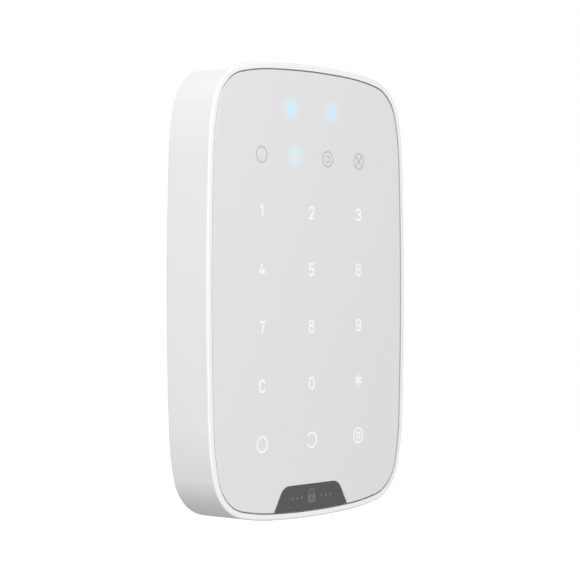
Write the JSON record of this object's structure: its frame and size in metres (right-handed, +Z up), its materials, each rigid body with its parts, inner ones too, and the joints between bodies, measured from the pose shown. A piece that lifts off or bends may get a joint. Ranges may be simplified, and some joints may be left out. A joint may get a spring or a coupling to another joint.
{
  "type": "alarm keypad",
  "caption": "Slim wall-mounted alarm keypad with backlit touch keys, lit arrow marks and a hook-on wall bracket locked by a retaining screw.",
  "frame": {"origin": "centre of the bracket's wall-screw pattern, on the wall plane", "axes": "+X to the user's right, +Y into the wall, +Z up; the face looks along -Y"},
  "size_m": [0.113, 0.02, 0.165],
  "materials": {
    "shell_white": "fine matte moulded ABS",
    "panel_grey": "satin hard-coated face plate, back-printed pale grey",
    "legend_white": "white backlit print",
    "symbol_grey": "pale grey print",
    "light_blue": "lit light-blue window",
    "badge_grey": "dark grey textured plastic",
    "emblem_grey": "raised satin grey motif",
    "foam_black": "black double-sided foam tape",
    "light_guide_clear": "clear light-guide film with dots",
    "led_white": "white LED package",
    "board_green": "green solder mask",
    "board_black": "black solder mask",
    "copper": "bare copper track",
    "tin": "tinned sheet",
    "chip_black": "moulded chip package",
    "plastic_black": "black moulded plastic",
    "flex_amber": "amber polyimide ribbon",
    "cell_wrap": "plain blue cell wrap with steel ends",
    "spring_steel": "nickel-plated spring wire",
    "lead_red": "red wire insulation",
    "lead_black": "black wire insulation",
    "cover_white": "moulded ABS, spark-eroded texture",
    "label_silver": "plain metallised label, no print",
    "bracket_white": "moulded ABS",
    "screw_zinc": "zinc-plated steel",
    "brass": "turned brass",
    "button_grey": "grey button cap"
  },
  "bodies": {
    "bracket": {"mounting_bracket": "bracket_white"},
    "keypad": {"housing": "shell_white", "front_panel": "panel_grey", "key_legends": "legend_white", "touch_symbols": "legend_white", "mode_symbols": "symbol_grey", "mode_light": "light_blue", "arrow_lights": "light_blue", "badge": "badge_grey", "badge_emblem": "emblem_grey", "panel_adhesive": "foam_black", "light_guide": "light_guide_clear", "touch_board": "board_black", "key_leds": "led_white", "reader_antenna": "copper", "touch_flex": "flex_amber", "flex_connector": "plastic_black", "main_board": "board_green", "radio_shield": "tin", "board_chips": "chip_black", "radio_antennas": "tin", "sounder": "plastic_black", "battery_holder": "plastic_black", "battery_cell_1": "cell_wrap", "battery_cell_2": "cell_wrap", "battery_cell_3": "cell_wrap", "battery_cell_4": "cell_wrap", "battery_contacts": "tin", "battery_springs": "spring_steel", "battery_lead_positive": "lead_red", "battery_lead_negative": "lead_black", "tamper_spring": "spring_steel", "tamper_switch": "plastic_black", "power_switch": "plastic_black", "rear_cover": "cover_white", "rear_label": "label_silver", "case_screws": "screw_zinc", "board_screws": "screw_zinc", "holder_screws": "screw_zinc", "threaded_insert": "brass"},
    "tamper": {"tamper_plunger": "button_grey"},
    "power": {"power_button": "button_grey", "power_switch_plunger": "plastic_black"},
    "screw_carrier": {"retaining_washer": "screw_zinc"},
    "screw": {"retaining_screw": "screw_zinc"}
  },
  "joints": [
    {"name": "keypad_slide", "type": "slide", "parent": "bracket", "child": "keypad", "axis": [0, 0, 1], "range_m": [0, 0.008]},
    {"name": "tamper_travel", "type": "slide", "parent": "keypad", "child": "tamper", "axis": [0, 1, 0], "range_m": [0, 0.00141], "deforming": ["tamper_spring"]},
    {"name": "power_press", "type": "slide", "parent": "keypad", "child": "power", "axis": [0, -1, 0], "range_m": [0, 0.0005], "stiffness_N_per_m": 1500},
    {"name": "screw_travel", "type": "slide", "parent": "bracket", "child": "screw_carrier", "axis": [0, 0, -1], "range_m": [0, 0.004]},
    {"name": "screw_turn", "type": "hinge", "parent": "screw_carrier", "child": "screw", "pos_m": [0, -0.005, -0.0803], "axis": [0, 0, -1], "range_deg": [0, 1441]}
  ],
  "couplings": [
    {"joint": "tamper_travel", "follows": "keypad_slide", "ratio": 0.175},
    {"joint": "screw_turn", "follows": "screw_travel", "rad_per_m": 6283.2}
  ]
}
